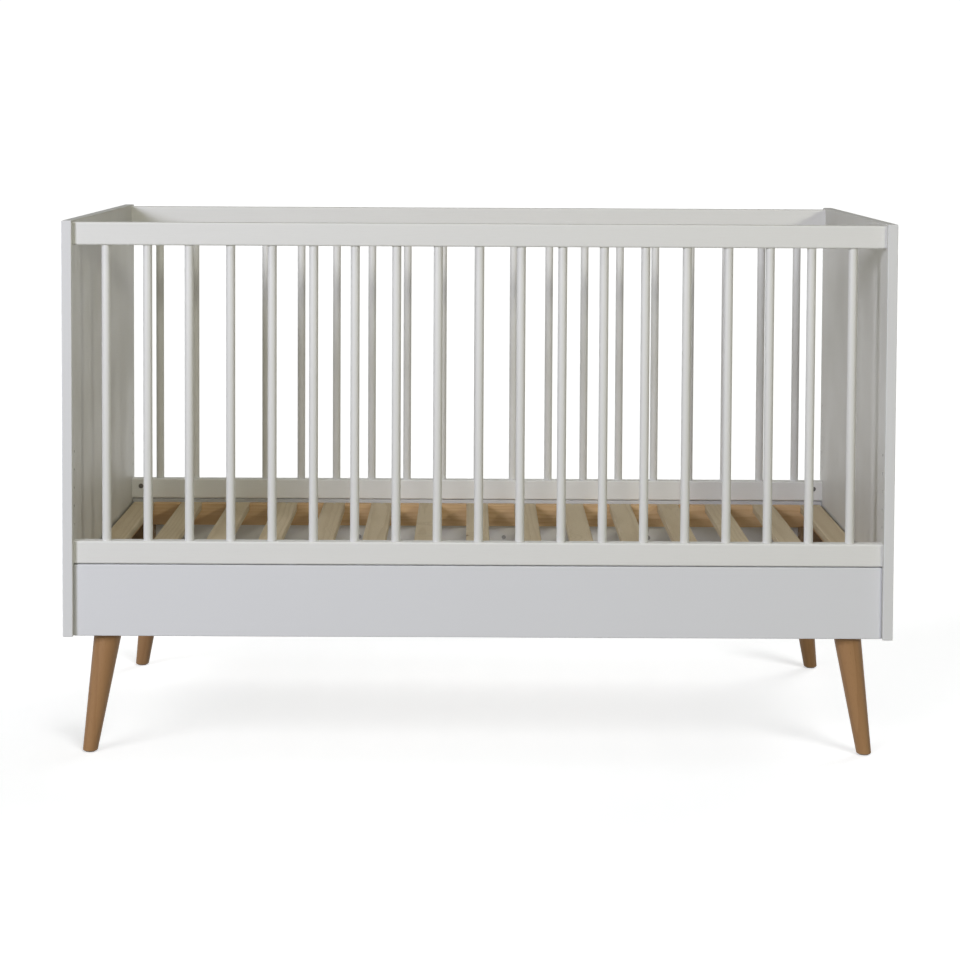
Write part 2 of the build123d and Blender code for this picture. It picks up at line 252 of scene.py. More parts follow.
# %% [markdown]
# ## Floor and light
#
# Two soft boxes stand in front, one each side, a little above the cot. They light the front faces
# fully and the insides of the ends through the bars, where each bar draws a soft stripe. The left
# one is the stronger, so each round bar is lighter on its left. A weaker box hangs above. One
# behind and one beyond each end light the faces that are turned away from the front. The room adds
# a weak, slightly warm light from all round.
#
# A studio floor is often exposed to pure white. If brightness alone did that, the floor would
# flood the cot with light from below. So this floor glows a little by itself, is left out of the
# soft boxes' light, and sends nothing back up. It has lights of its own, which reach nothing else.
# Two of them slant down from opposite corners, and the narrow band where their two shadows overlap
# is the soft shadow under the cot. A third one draws a faint shadow behind each foot.

# %% Floor
bpy.context.scene.view_settings.view_transform = "Standard"
FLOOR_RADIUS = 60.0
FLOOR_PAINT = (0.8, 0.8, 0.8, 1.0)
FLOOR_GLOW_COLOUR = (0.935, 0.955, 1.0, 1.0)
FLOOR_GLOW = 0.512

deselect_all()
bpy.ops.mesh.primitive_circle_add(
    vertices=96, radius=FLOOR_RADIUS, fill_type="NGON", location=(0, 0, 0),
)
floor = settle(active_piece("studio_floor"))
floor.visible_diffuse = False
floor_paint = bpy.data.materials.new("studio_white")
floor_paint.use_nodes = True
floor_shader = floor_paint.node_tree.nodes["Principled BSDF"]
floor_shader.inputs["Base Color"].default_value = FLOOR_PAINT
floor_shader.inputs["Roughness"].default_value = 1.0
floor_shader.inputs["Specular IOR Level"].default_value = 0.0
floor_shader.inputs["Emission Color"].default_value = FLOOR_GLOW_COLOUR
floor_shader.inputs["Emission Strength"].default_value = FLOOR_GLOW
floor.data.materials.append(floor_paint)
print("the floor glows with strength", FLOOR_GLOW)

# %% [markdown]
# **The room.** The world has two faces. The camera sees a white backdrop, and the cot sees a dim
# room, a little different above and below the horizon. A Light Path node tells the two apart.

# %% Room light
CEILING_LIGHT = (0.190, 0.184, 0.148, 1.0)
FLOOR_BOUNCE = (0.200, 0.190, 0.148, 1.0)
HORIZON_SOFTNESS = 0.25
BACKDROP_GLOW = 1.05

world = bpy.data.worlds.new("studio")
bpy.context.scene.world = world
world.use_nodes = True
sky = world.node_tree
sky.nodes.clear()
way_out = add(sky, "TexCoord", (0, 0))
up_or_down = add(sky, "SeparateXYZ", (1, 0))
sky.links.new(way_out.outputs["Generated"], up_or_down.inputs["Vector"])
above = add(sky, "MapRange", (2, 0), From_Min=-HORIZON_SOFTNESS, From_Max=HORIZON_SOFTNESS)
sky.links.new(up_or_down.outputs["Z"], above.inputs["Value"])
room_tone = blend_colour(sky, (3, 0), above.outputs["Result"], FLOOR_BOUNCE, CEILING_LIGHT)
room = add(sky, "Background", (4, 0))
sky.links.new(room_tone, room.inputs["Color"])
backdrop = add(sky, "Background", (4, -1), Color=(1.0, 1.0, 1.0, 1.0), Strength=BACKDROP_GLOW)
seen = add(sky, "LightPath", (4, 2))
either = add(sky, "MixShader", (5, 0))
sky.links.new(seen.outputs["Is Camera Ray"], either.inputs["Fac"])
sky.links.new(room.outputs["Background"], either.inputs[1])
sky.links.new(backdrop.outputs["Background"], either.inputs[2])
sky_out = add(sky, "OutputWorld", (6, 0))
sky.links.new(either.outputs["Shader"], sky_out.inputs["Surface"])
print("room light above", CEILING_LIGHT[:3], "and below", FLOOR_BOUNCE[:3])

# %% Helpers for lights
LIGHT_AIM = Vector((0.0, 0.0, 0.55))
LIGHT_AWAY = 6.5


def light_way(azimuth, elevation):
    """The way from the cot to a light. Azimuth 0 is straight in front, and right is positive."""
    level = math.cos(math.radians(elevation))
    sideways = math.sin(math.radians(azimuth)) * level
    towards = -math.cos(math.radians(azimuth)) * level
    return Vector((sideways, towards, math.sin(math.radians(elevation))))


def hang(name, data, way):
    """Put a light at its place, turned to face the cot."""
    light = bpy.data.objects.new(name, data)
    light.location = LIGHT_AIM + way * LIGHT_AWAY
    light.rotation_euler = way.to_track_quat("Z", "Y").to_euler()
    bpy.context.scene.collection.objects.link(light)
    return light


def soft_box(name, azimuth, elevation, size, watts, colour):
    """A square soft box, its size being the length of a side."""
    data = bpy.data.lights.new(name, "AREA")
    data.size = size
    data.energy = watts
    data.color = colour
    return hang(name, data, light_way(azimuth, elevation))


def light_group(name, members, state="INCLUDE"):
    """The objects that a light is to reach, or with the state EXCLUDE those it is to leave out."""
    group = bpy.data.collections.new(name)
    for member in members:
        group.objects.link(member)
    for entry in group.collection_objects:
        entry.light_linking.link_state = state
    return group


print("lights stand", LIGHT_AWAY, "m away and aim", round(LIGHT_AIM.z, 2), "m above the floor")

# %% Soft boxes
BLUISH = (0.98, 0.995, 1.12)
YELLOWISH = (1.0, 0.985, 0.82)
CREAMY = (1.0, 0.98, 0.93)
COOL = (1.0, 1.0, 1.03)

front_boxes = [
    soft_box("soft_box_left", -33.0, 17.0, size=1.6, watts=202.0, colour=BLUISH),
    soft_box("soft_box_right", 26.0, 13.0, size=0.4, watts=76.0, colour=YELLOWISH),
]
above_box = soft_box("soft_box_above", 0.0, 80.0, size=1.2, watts=62.0, colour=CREAMY)
behind_box = soft_box("soft_box_behind", 180.0, 8.0, size=2.4, watts=160.0, colour=COOL)
end_boxes = [
    soft_box("soft_box_left_end", -92.0, -1.5, size=0.8, watts=95.0, colour=COOL),
    soft_box("soft_box_right_end", 92.0, -1.5, size=0.8, watts=95.0, colour=COOL),
]
# Seen along a lacquered wall, the boxes behind and beside would draw a long glare on it.
for box in [behind_box] + end_boxes:
    box.visible_glossy = False
# The end boxes are given what they light later, once there are legs for them to leave out.
all_but_floor = light_group("lit_by_soft_boxes", [floor], "EXCLUDE")
for box in front_boxes + [above_box, behind_box]:
    box.light_linking.receiver_collection = all_but_floor
print("soft boxes:", len(front_boxes) + len(end_boxes) + 2)

# %% The floor's own lights
floor_only = light_group("lit_by_floor_lights", [floor])


def floor_light(name, azimuth, elevation, spread, strength):
    """A sun of a wide or narrow spread that reaches only the floor."""
    data = bpy.data.lights.new(name, "SUN")
    data.energy = strength
    data.angle = math.radians(spread)
    light = hang(name, data, light_way(azimuth, elevation))
    light.light_linking.receiver_collection = floor_only
    return light


floor_light("floor_wash_front", -35.0, 36.0, spread=28.0, strength=0.80)
floor_light("floor_wash_back", 145.0, 36.0, spread=28.0, strength=0.80)
foot_light = floor_light("foot_light", 27.0, 48.0, spread=22.0, strength=1.10)

# %% [markdown]
# ## Shader groups
#
# Several finishes share the same effects, so each effect is a node group with named sockets. A
# material places the group with its own values and keeps the shader itself.
#
# **Wood figure.** A board is a slice through a tree: rings drawn out into long lines, fine pores
# that run the same way, and now and then a knot that pushes the rings aside. The group takes a
# point whose X runs along the grain. It could be a picture of wood instead, but then neighbouring
# boards would repeat, and an end would not show its rings.

# %% A shader group's sockets


def open_group(name, inputs, outputs):
    """An empty shader group with its sockets, and the nodes that stand for its two ends."""
    tree = bpy.data.node_groups.new(name, "ShaderNodeTree")
    for label, kind, start in inputs:
        socket = tree.interface.new_socket(
            label, in_out="INPUT", socket_type="NodeSocket" + kind)
        if start is not None:
            socket.default_value = start
    for label, kind in outputs:
        tree.interface.new_socket(label, in_out="OUTPUT", socket_type="NodeSocket" + kind)
    first = tree.nodes.new("NodeGroupInput")
    last = tree.nodes.new("NodeGroupOutput")
    first.location = (-8 * SHEET_STEP, 0)
    last.location = (5 * SHEET_STEP, 0)
    return tree, first.outputs, last.inputs


wood, wood_in, wood_out = open_group(
    "wood_figure",
    [("Vector", "Vector", None), ("Ring Width", "Float", 0.004), ("Waviness", "Float", 0.5),
     ("Pore Size", "Float", 0.0006), ("Knot Spacing", "Float", 0.25), ("Knots", "Float", 1.0)],
    [("Rings", "Float"), ("Pores", "Float"), ("Tone", "Float"), ("Knot", "Float"),
     ("Height", "Float")],
)
print("wood figure puts out", [socket.name for socket in wood_out if socket.name])

# %% Wood figure: knots, sparse cells with a small round heart
KNOT_EDGE, KNOT_CORE = 0.075, 0.035
PULL_EDGE, PULL_CORE = 0.26, 0.02

knot_point = add(wood, "VectorMath", (-6, -3), {"operation": "DIVIDE"})
wood.links.new(wood_in["Vector"], knot_point.inputs[0])
wood.links.new(wood_in["Knot Spacing"], knot_point.inputs[1])
knot_distance = cells(wood, (-5, -3), knot_point.outputs[0], 1.0)
knot_heart = ramp(wood, (-4, -3), KNOT_EDGE, KNOT_CORE, knot_distance)
knot_pull = ramp(wood, (-4, -4), PULL_EDGE, PULL_CORE, knot_distance)
knot_mask = math_node(wood, (-3, -3), "MULTIPLY", knot_heart, wood_in["Knots"], clamp=True)
knot_push = math_node(wood, (-3, -4), "MULTIPLY", knot_pull, wood_in["Knots"])
print("a knot bends the rings out to", PULL_EDGE, "of its cell")

# %% Wood figure: rings, counted from the heart of the tree and bent by a slow wobble
RING_SHRINK = 0.10
HEART_BELOW = 0.035
WOBBLE_SCALE = 22.0
WOBBLE_RINGS = 9.0
KNOT_RINGS = 2.6
LATE_WOOD_FROM, LATE_WOOD_FULL = 0.35, 0.92
RING_END, RING_END_FULL = 1.0, 0.93

drawn_out = stretched(wood, (-6, 1), wood_in["Vector"], RING_SHRINK)
wobble = noise(wood, (-5, 1), drawn_out, Scale=WOBBLE_SCALE, Detail=3.0, Roughness=0.5)
parts = add(wood, "SeparateXYZ", (-5, 3))
wood.links.new(wood_in["Vector"], parts.inputs[0])
off_heart = math_node(wood, (-4, 2.4), "ADD", parts.outputs["Z"], HEART_BELOW)
across = math_node(wood, (-4, 3.4), "MULTIPLY", parts.outputs["Y"], parts.outputs["Y"])
deep = math_node(wood, (-3, 2.4), "MULTIPLY", off_heart, off_heart)
squared = math_node(wood, (-2.6, 3.4), "ADD", across, deep)
from_heart = math_node(wood, (-2, 3), "SQRT", squared)
ring_count = math_node(wood, (-1, 3), "DIVIDE", from_heart, wood_in["Ring Width"])
wave = math_node(wood, (-4, 0), "MULTIPLY", wood_in["Waviness"], WOBBLE_RINGS)
bent = math_node(wood, (-3, 1), "MULTIPLY", wobble, wave)
knot_bend = math_node(wood, (-2, 0), "MULTIPLY", knot_push, KNOT_RINGS)
pushed = math_node(wood, (-1, 1), "ADD", bent, knot_bend)
ring_sum = math_node(wood, (0, 3), "ADD", ring_count, pushed)
ring_phase = math_node(wood, (0, 2), "FRACT", ring_sum)
late_wood = ramp(wood, (1, 2), LATE_WOOD_FROM, LATE_WOOD_FULL, ring_phase)
early_edge = ramp(wood, (1, 3), RING_END, RING_END_FULL, ring_phase)
rings = math_node(wood, (2, 2), "MULTIPLY", late_wood, early_edge)
print("the heart of the tree lies", HEART_BELOW, "m below the middle of a board")

# %% Wood figure: pores, broad soft tone, and how deep each sinks
PORE_SHRINK = 0.045
PORE_FROM, PORE_FULL = 0.56, 0.72
TONE_SCALE = 9.0
TONE_FROM, TONE_FULL = 0.28, 0.72
PORE_SINKS = 0.6
RING_SINKS = 0.4

pore_point = stretched(wood, (-6, -1), wood_in["Vector"], PORE_SHRINK)
pore_scale = math_node(wood, (-5, -2), "DIVIDE", 1.0, wood_in["Pore Size"])
pore_noise = add(wood, "TexNoise", (-5, -1), Detail=2.0, Roughness=0.6)
wood.links.new(pore_point, pore_noise.inputs["Vector"])
wood.links.new(pore_scale, pore_noise.inputs["Scale"])
pores = ramp(wood, (-4, -1), PORE_FROM, PORE_FULL, pore_noise.outputs["Fac"])
tone_noise = noise(wood, (-2, -1), drawn_out, Scale=TONE_SCALE, Detail=2.0, Roughness=0.5)
tone = ramp(wood, (-1, -1), TONE_FROM, TONE_FULL, tone_noise)
pore_depth = math_node(wood, (1, 0), "MULTIPLY", pores, PORE_SINKS)
ring_depth = math_node(wood, (1, -1), "MULTIPLY", rings, RING_SINKS)
sunk = math_node(wood, (2, 0), "ADD", pore_depth, ring_depth)
height = math_node(wood, (3, 0), "SUBTRACT", 1.0, sunk)
wood_results = {
    "Rings": rings, "Pores": pores, "Tone": tone, "Knot": knot_mask, "Height": height,
}
for label, value in wood_results.items():
    wood.links.new(value, wood_out[label])
print("wood figure group has", len(wood.nodes), "nodes")

# %% [markdown]
# **Lacquer skin.** Sprayed lacquer is never quite flat. It has a fine orange-peel ripple, wood
# under it shows as faint long lines, and handling leaves slightly duller patches. All of this is
# so weak that it only softens the highlights, which is just what separates paint from plastic.

# %% Lacquer skin group
PEEL_SCALE = 520.0
LINE_SHRINK = 0.03
LINE_SCALE = 900.0
LINE_FROM, LINE_FULL = 0.45, 0.75
PATCH_SCALE = 5.5
PATCH_FROM, PATCH_FULL = 0.35, 0.7
SATIN = 0.42
PATCH_DULLS = 0.10
PATCH_DARKENS = 0.018
LINE_DARKENS = 0.10
HANDLED_TINT = (0.55, 0.53, 0.50, 1.0)

skin, skin_in, skin_out = open_group(
    "lacquer_skin",
    [("Vector", "Vector", None), ("Base", "Color", (0.8, 0.8, 0.8, 1.0)),
     ("Grain Show", "Float", 0.2)],
    [("Color", "Color"), ("Roughness", "Float"), ("Height", "Float")],
)
skin_point = skin_in["Vector"]
peel = noise(skin, (-5, 0), skin_point, Scale=PEEL_SCALE, Detail=2.0, Roughness=0.5)
line_point = stretched(skin, (-6, -1), skin_point, LINE_SHRINK)
under_grain = noise(skin, (-5, -1), line_point, Scale=LINE_SCALE, Detail=3.0, Roughness=0.6)
grain_line = ramp(skin, (-4, -1), LINE_FROM, LINE_FULL, under_grain)
grain_shown = math_node(skin, (-3, -1), "MULTIPLY", grain_line, skin_in["Grain Show"])
handled = noise(skin, (-5, 2), skin_point, Scale=PATCH_SCALE, Detail=4.0, Roughness=0.55)
patch = ramp(skin, (-4, 2), PATCH_FROM, PATCH_FULL, handled)
patch_dull = math_node(skin, (-3, 2), "MULTIPLY", patch, PATCH_DULLS)
duller = math_node(skin, (-2, 2), "ADD", SATIN, patch_dull)
patch_dark = math_node(skin, (-2, 1), "MULTIPLY", patch, PATCH_DARKENS)
line_dark = math_node(skin, (-2, -1), "MULTIPLY", grain_shown, LINE_DARKENS)
shade = math_node(skin, (-1, 1), "ADD", patch_dark, line_dark)
tinted = blend_colour(skin, (0, 1), shade, skin_in["Base"], HANDLED_TINT, "MULTIPLY")
skin_height = math_node(skin, (0, -1), "SUBTRACT", peel, grain_shown)
for label, value in {"Color": tinted, "Roughness": duller, "Height": skin_height}.items():
    skin.links.new(value, skin_out[label])
print("lacquer skin group has", len(skin.nodes), "nodes")

# %% [markdown]
# ## Finishes
#
# Each finish is a short function's work: it sets where the pattern is read from, places a group,
# turns its masks into colour, roughness and height, and hands those to the Principled shader.

# %% Where a pattern is read from
GRAIN_TURN = {
    "X": (0, 0, 0),
    "Y": (0, 0, math.radians(-90)),
    "Z": (0, math.radians(90), 0),
}


def object_point(tree, grain_axis):
    """Object coordinates, turned so that their X runs along the grain."""
    coordinates = add(tree, "TexCoord", (-9, 0))
    turned = add(tree, "Mapping", (-8, 0), Rotation=GRAIN_TURN[grain_axis])
    tree.links.new(coordinates.outputs["Object"], turned.inputs["Vector"])
    return turned.outputs["Vector"]


def grain_point(tree):
    """The piece's own stored points, whose X runs along its grain."""
    stored = add(tree, "Attribute", (-9, 0), {"attribute_name": "grain"})
    return stored.outputs["Vector"]


def along(grain_axis):
    """A way to read Object coordinates along an axis, for a finish that asks for a point."""
    return lambda tree: object_point(tree, grain_axis)


print("a grain may run along", sorted(GRAIN_TURN))

# %% Helpers for materials
SHADER_AT, OUTPUT_AT = 6, 8


def new_material(name):
    """A material with just its shader, and the sheet that it stands on."""
    material = bpy.data.materials.new(name)
    material.use_nodes = True
    tree = material.node_tree
    shader = tree.nodes["Principled BSDF"]
    shader.location = (SHADER_AT * SHEET_STEP, 0)
    tree.nodes["Material Output"].location = (OUTPUT_AT * SHEET_STEP, 0)
    return material, tree, shader


def place_group(tree, group, point, **values):
    """Place a shader group, read at a point, with this material's own values."""
    made = tree.nodes.new("ShaderNodeGroup")
    made.node_tree = group
    made.location = (-6 * SHEET_STEP, 0)
    tree.links.new(point, made.inputs["Vector"])
    for key, value in values.items():
        made.inputs[key.replace("_", " ")].default_value = value
    return made.outputs


def bump(tree, shader, relief, distance, strength):
    """Let a height pattern tilt the surface. The distance is how deep it goes."""
    made = add(tree, "Bump", (4, -2), Distance=distance, Strength=strength)
    tree.links.new(relief, made.inputs["Height"])
    tree.links.new(made.outputs["Normal"], shader.inputs["Normal"])


print("shader groups ready to place:", sorted(group.name for group in bpy.data.node_groups))

# %% [markdown]
# ** White lacquer.** The rails and bars are taken to be beech and the panels board, all sprayed
# satin white. The panels' inner faces lie in the cot's shade, warmed by light bounced off the
# pine, so a mask paints that darker, warmer shade onto them.
# A second mask puts brown board inside the rows of small holes that are drilled into the ends.
# Both masks are made from how far a point is from the middle of the cot.

# %% Masks for the panels
FADE = 0.5 * MM
END_INNER, END_OUTER = 710.0 * MM, 728.0 * MM
SIDE_INNER = 358.5 * MM
FACE_BACK, FACE_FRONT = 1.0 * MM, 0.6 * MM
HOLE_FROM, HOLE_TO = END_INNER + 0.4 * MM, END_OUTER - 1.0 * MM
HOLES_REACH = 386.8 * MM
HOLES_BOTTOM, HOLES_TOP = 216.5 * MM, 944.8 * MM


def size_along(tree, axis):
    """Two sockets: the Object coordinate along an axis, and how far that is from the middle."""
    split = add(tree, "SeparateXYZ", (-7, -4))
    tree.links.new(add(tree, "TexCoord", (-8, -4)).outputs["Object"], split.inputs[0])
    return split.outputs[axis], math_node(tree, (-6, -4), "ABSOLUTE", split.outputs[axis])


def between(tree, value, low, high):
    """A mask that is 1 from low to high and fades out inside each end."""
    risen = ramp(tree, (-4, -4), low, low + FADE, value)
    not_fallen = ramp(tree, (-4, -5), high, high - FADE, value)
    return math_node(tree, (-3, -4), "MULTIPLY", risen, not_fallen)


def inner_face(tree, away, face):
    """A mask for the inner face of a panel, whose place is face."""
    return between(tree, away, face - FACE_BACK, face + FACE_FRONT)


print("an end panel is", round((END_OUTER - END_INNER) / MM), "mm thick")

# %% White lacquer
LACQUER_IOR = 1.48
LACQUER_GLOSS = 0.42
LACQUER_RELIEF = 0.12 * MM


def white_lacquer(name, base, grain_show, grain_axis, add_to_colour=None):
    """Satin lacquer. On beech the grain shows through a little, and on board hardly at all."""
    material, tree, shader = new_material(name)
    point = object_point(tree, grain_axis)
    out = place_group(tree, skin, point, Base=base, Grain_Show=grain_show)
    colour = out["Color"]
    if add_to_colour:
        colour = add_to_colour(tree, colour)
    tree.links.new(colour, shader.inputs["Base Color"])
    tree.links.new(out["Roughness"], shader.inputs["Roughness"])
    shader.inputs["IOR"].default_value = LACQUER_IOR
    shader.inputs["Specular IOR Level"].default_value = LACQUER_GLOSS
    bump(tree, shader, out["Height"], distance=LACQUER_RELIEF, strength=0.35)
    return material


print("the lacquer's ripple is", round(LACQUER_RELIEF / MM, 2), "mm deep")

# %% What the panels add to their white: painted shade on the inner faces, brown board in holes
# The two inner-shade colours paint the shade, warmed by light bounced off the pine, that falls on
# the inner faces of the end and lower panels.
END_INNER_SHADE = (0.850, 0.836, 0.780, 1.0)
SIDE_INNER_SHADE = (0.985, 0.965, 0.920, 1.0)
DRILLED_BOARD = (0.21, 0.155, 0.105, 1.0)


def end_board(tree, colour):
    """An end panel: painted shade, darker and warmer, on its inner face, and brown board in its
    holes.
    """
    off_middle = size_along(tree, "X")[1]
    shade_mask = inner_face(tree, off_middle, END_INNER)
    # Painted shade: the end panel's inner face is darkened and warmed.
    shaded_inside = blend_colour(tree, (2, 1), shade_mask, colour, END_INNER_SHADE, "MULTIPLY")
    in_board = between(tree, off_middle, HOLE_FROM, HOLE_TO)
    in_depth = between(tree, size_along(tree, "Y")[1], -2 * FADE, HOLES_REACH)
    in_height = between(tree, size_along(tree, "Z")[0], HOLES_BOTTOM, HOLES_TOP)
    in_both = math_node(tree, (0, -4), "MULTIPLY", in_board, in_depth)
    in_hole = math_node(tree, (1, -4), "MULTIPLY", in_both, in_height)
    return blend_colour(tree, (3, 1), in_hole, shaded_inside, DRILLED_BOARD)


def side_board(tree, colour):
    """A lower panel: a faint painted warm shade on its inner face."""
    shade_mask = inner_face(tree, size_along(tree, "Y")[1], SIDE_INNER)
    # Painted shade: the lower panel's inner face is warmed and darkened a little.
    return blend_colour(tree, (2, 1), shade_mask, colour, SIDE_INNER_SHADE, "MULTIPLY")


print("the holes' brown is", DRILLED_BOARD[:3])

# %% White finishes, on board and on beech
BOARD_WHITE = (0.736, 0.747, 0.785, 1.0)
END_WHITE = (0.732, 0.739, 0.758, 1.0)
BEECH_WHITE = (0.785, 0.787, 0.780, 1.0)
BOARD_GRAIN, BEECH_GRAIN = 0.10, 0.45

board_upright = white_lacquer("white_board_upright", END_WHITE, BOARD_GRAIN, "Z", end_board)
board_lengthways = white_lacquer(
    "white_board_lengthways", BOARD_WHITE, BOARD_GRAIN, "X", side_board)
board_crossways = white_lacquer("white_board_crossways", BOARD_WHITE, BOARD_GRAIN, "Y")
beech_lengthways = white_lacquer("white_beech_lengthways", BEECH_WHITE, BEECH_GRAIN, "X")
beech_upright = white_lacquer("white_beech_upright", BEECH_WHITE, BEECH_GRAIN, "Z")
print("lacquer over an end panel takes", len(board_upright.node_tree.nodes), "nodes")

# %% [markdown]
# **Raw and oiled wood.** The base is raw: pale slats, rails of a deeper orange and brown corner
# blocks. The legs are oiled to a warm brown. All four woods read the same wood figure, and differ
# in their tones, in how wide the rings are and in how dull the surface is.

# %% Raw and oiled wood
RINGS_SHOW, CLOUDS_SHOW, PORES_SHOW = 0.55, 0.45, 0.35
PORES_DULL = 0.12
WOOD_GLOSS = 0.35
WOOD_RELIEF = 0.2 * MM


def raw_wood(name, point, tones, figure, rough):
    """Planed wood: light early wood, darker late wood, pores and knots, duller than lacquer.

    tones are its light, dark, pore and knot colours, and figure holds the wood group's values.
    """
    light, dark, pore, knot = tones
    material, tree, shader = new_material(name)
    out = place_group(tree, wood, point(tree), **figure)
    ringed = math_node(tree, (-5, 2), "MULTIPLY", out["Rings"], RINGS_SHOW)
    body = blend_colour(tree, (-4, 1), ringed, light, dark)
    clouded = math_node(tree, (-4, 2), "MULTIPLY", out["Tone"], CLOUDS_SHOW)
    toned = blend_colour(tree, (-3, 1), clouded, body, dark)
    flecked = math_node(tree, (-3, 2), "MULTIPLY", out["Pores"], PORES_SHOW)
    pored = blend_colour(tree, (-2, 1), flecked, toned, pore)
    knotted = blend_colour(tree, (-1, 1), out["Knot"], pored, knot)
    tree.links.new(knotted, shader.inputs["Base Color"])
    dulled = math_node(tree, (-1, -1), "MULTIPLY", out["Pores"], PORES_DULL)
    tree.links.new(math_node(tree, (0, -1), "ADD", dulled, rough), shader.inputs["Roughness"])
    shader.inputs["Specular IOR Level"].default_value = WOOD_GLOSS
    bump(tree, shader, out["Height"], distance=WOOD_RELIEF, strength=0.4)
    return material


print("raw wood shows its rings at", RINGS_SHOW, "of their strength")

# %% The four woods
SLAT_TONES = [(0.59, 0.495, 0.345, 1), (0.480, 0.380, 0.243, 1),
              (0.37, 0.278, 0.165, 1), (0.19, 0.105, 0.048, 1)]
RAIL_TONES = [(0.66, 0.45, 0.25, 1), (0.52, 0.32, 0.155, 1),
              (0.42, 0.26, 0.13, 1), (0.18, 0.08, 0.03, 1)]
BLOCK_TONES = [(0.40, 0.28, 0.17, 1), (0.31, 0.20, 0.115, 1),
               (0.20, 0.12, 0.06, 1), (0.12, 0.06, 0.03, 1)]
LEG_TONES = [(0.405, 0.225, 0.100, 1), (0.315, 0.165, 0.068, 1),
             (0.215, 0.11, 0.045, 1), (0.12, 0.06, 0.03, 1)]
SLAT_FIGURE = {"Ring_Width": 6.0 * MM, "Waviness": 0.35, "Pore_Size": 0.8 * MM,
               "Knots": 1.0, "Knot_Spacing": 0.20}
RAIL_FIGURE = {"Ring_Width": 8.5 * MM, "Waviness": 0.5, "Pore_Size": 0.9 * MM,
               "Knots": 1.0, "Knot_Spacing": 0.26}
BLOCK_FIGURE = {"Ring_Width": 3.5 * MM, "Waviness": 0.5, "Pore_Size": 0.6 * MM,
                "Knots": 0.5, "Knot_Spacing": 0.20}
LEG_FIGURE = {"Ring_Width": 11.5 * MM, "Waviness": 0.25, "Pore_Size": 0.7 * MM,
              "Knots": 0.0, "Knot_Spacing": 0.30}

slat_pine = raw_wood("slat_pine", grain_point, SLAT_TONES, SLAT_FIGURE, rough=0.62)
rail_pine = raw_wood("rail_pine", along("X"), RAIL_TONES, RAIL_FIGURE, rough=0.60)
rail_pine_short = raw_wood("rail_pine_short", along("Y"), RAIL_TONES, RAIL_FIGURE, rough=0.60)
block_wood = raw_wood("block_wood", along("Y"), BLOCK_TONES, BLOCK_FIGURE, rough=0.70)
leg_oak = raw_wood("leg_oak", grain_point, LEG_TONES, LEG_FIGURE, rough=0.46)
print("rings of the leg are", round(LEG_FIGURE["Ring_Width"] / MM, 1), "mm wide")

# %% [markdown]
# **Metal and nylon.** Zinc plating is bright but a little cloudy, with a faint crystal speckle and
# rub marks. Screws with a dark oxide skin are duller. Nylon is dull too, and its mould leaves a
# very fine grain.

# %% Metal
CRYSTALS_SCALE = 900.0
CLOUD_SCALE = 140.0
CLOUD_DULLS = 0.25


def plated(name, bright, dim, smooth):
    """Plated steel: small crystals that differ a little in tone, under a cloudy polish."""
    material, tree, shader = new_material(name)
    point = object_point(tree, "X")
    crystals = cells(tree, (-5, 1), point, CRYSTALS_SCALE)
    cloud = noise(tree, (-5, -1), point, Scale=CLOUD_SCALE, Detail=4.0)
    colour = blend_colour(tree, (-2, 1), crystals, bright, dim)
    rubbed = math_node(tree, (-3, -1), "MULTIPLY", cloud, CLOUD_DULLS)
    tree.links.new(colour, shader.inputs["Base Color"])
    tree.links.new(math_node(tree, (-2, -1), "ADD", rubbed, smooth), shader.inputs["Roughness"])
    shader.inputs["Metallic"].default_value = 1.0
    bump(tree, shader, cloud, distance=0.04 * MM, strength=0.3)
    return material


zinc_plate = plated("zinc_plate", (0.62, 0.62, 0.60, 1), (0.48, 0.48, 0.47, 1), smooth=0.28)
dark_oxide = plated("dark_oxide", (0.30, 0.29, 0.28, 1), (0.20, 0.19, 0.185, 1), smooth=0.40)
print("a plating has", len(zinc_plate.node_tree.nodes), "nodes")

# %% Nylon
NYLON_GRAIN_SCALE = 1500.0
NYLON_LIGHT = (0.36, 0.35, 0.33, 1)
NYLON_DARK = (0.28, 0.27, 0.26, 1)

nylon, nylon_tree, nylon_shader = new_material("nylon")
nylon_point = object_point(nylon_tree, "X")
nylon_grain = noise(nylon_tree, (-5, 0), nylon_point, Scale=NYLON_GRAIN_SCALE, Detail=2.0)
nylon_colour = blend_colour(nylon_tree, (-2, 1), nylon_grain, NYLON_LIGHT, NYLON_DARK)
nylon_tree.links.new(nylon_colour, nylon_shader.inputs["Base Color"])
nylon_shader.inputs["Roughness"].default_value = 0.55
bump(nylon_tree, nylon_shader, nylon_grain, distance=0.05 * MM, strength=0.4)
print("materials:", sorted(m.name for m in bpy.data.materials if m.use_nodes))

# %% [markdown]
# ## The bars
#
# Each side has a row of round beech bars, glued into the rails. The design's own bars are plain
# rods, and theirs would do from afar. A real dowel has eased ends, so that it starts easily into
# its hole, and it is finished so smoothly that its roundness shows in the shading alone. One bar
# is modelled, and the rest are copies. Their places are read from the design's groups of bars.

# %% One bar
BAR_EASE = 1.2 * MM
BAR_COUNT = 19
bar_low, bar_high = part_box("front_bars")
BAR_RADIUS = (bar_high.y - bar_low.y) / 2
BAR_LENGTH = bar_high.z - bar_low.z
BAR_PITCH = (bar_high.x - bar_low.x - 2 * BAR_RADIUS) / (BAR_COUNT - 1)

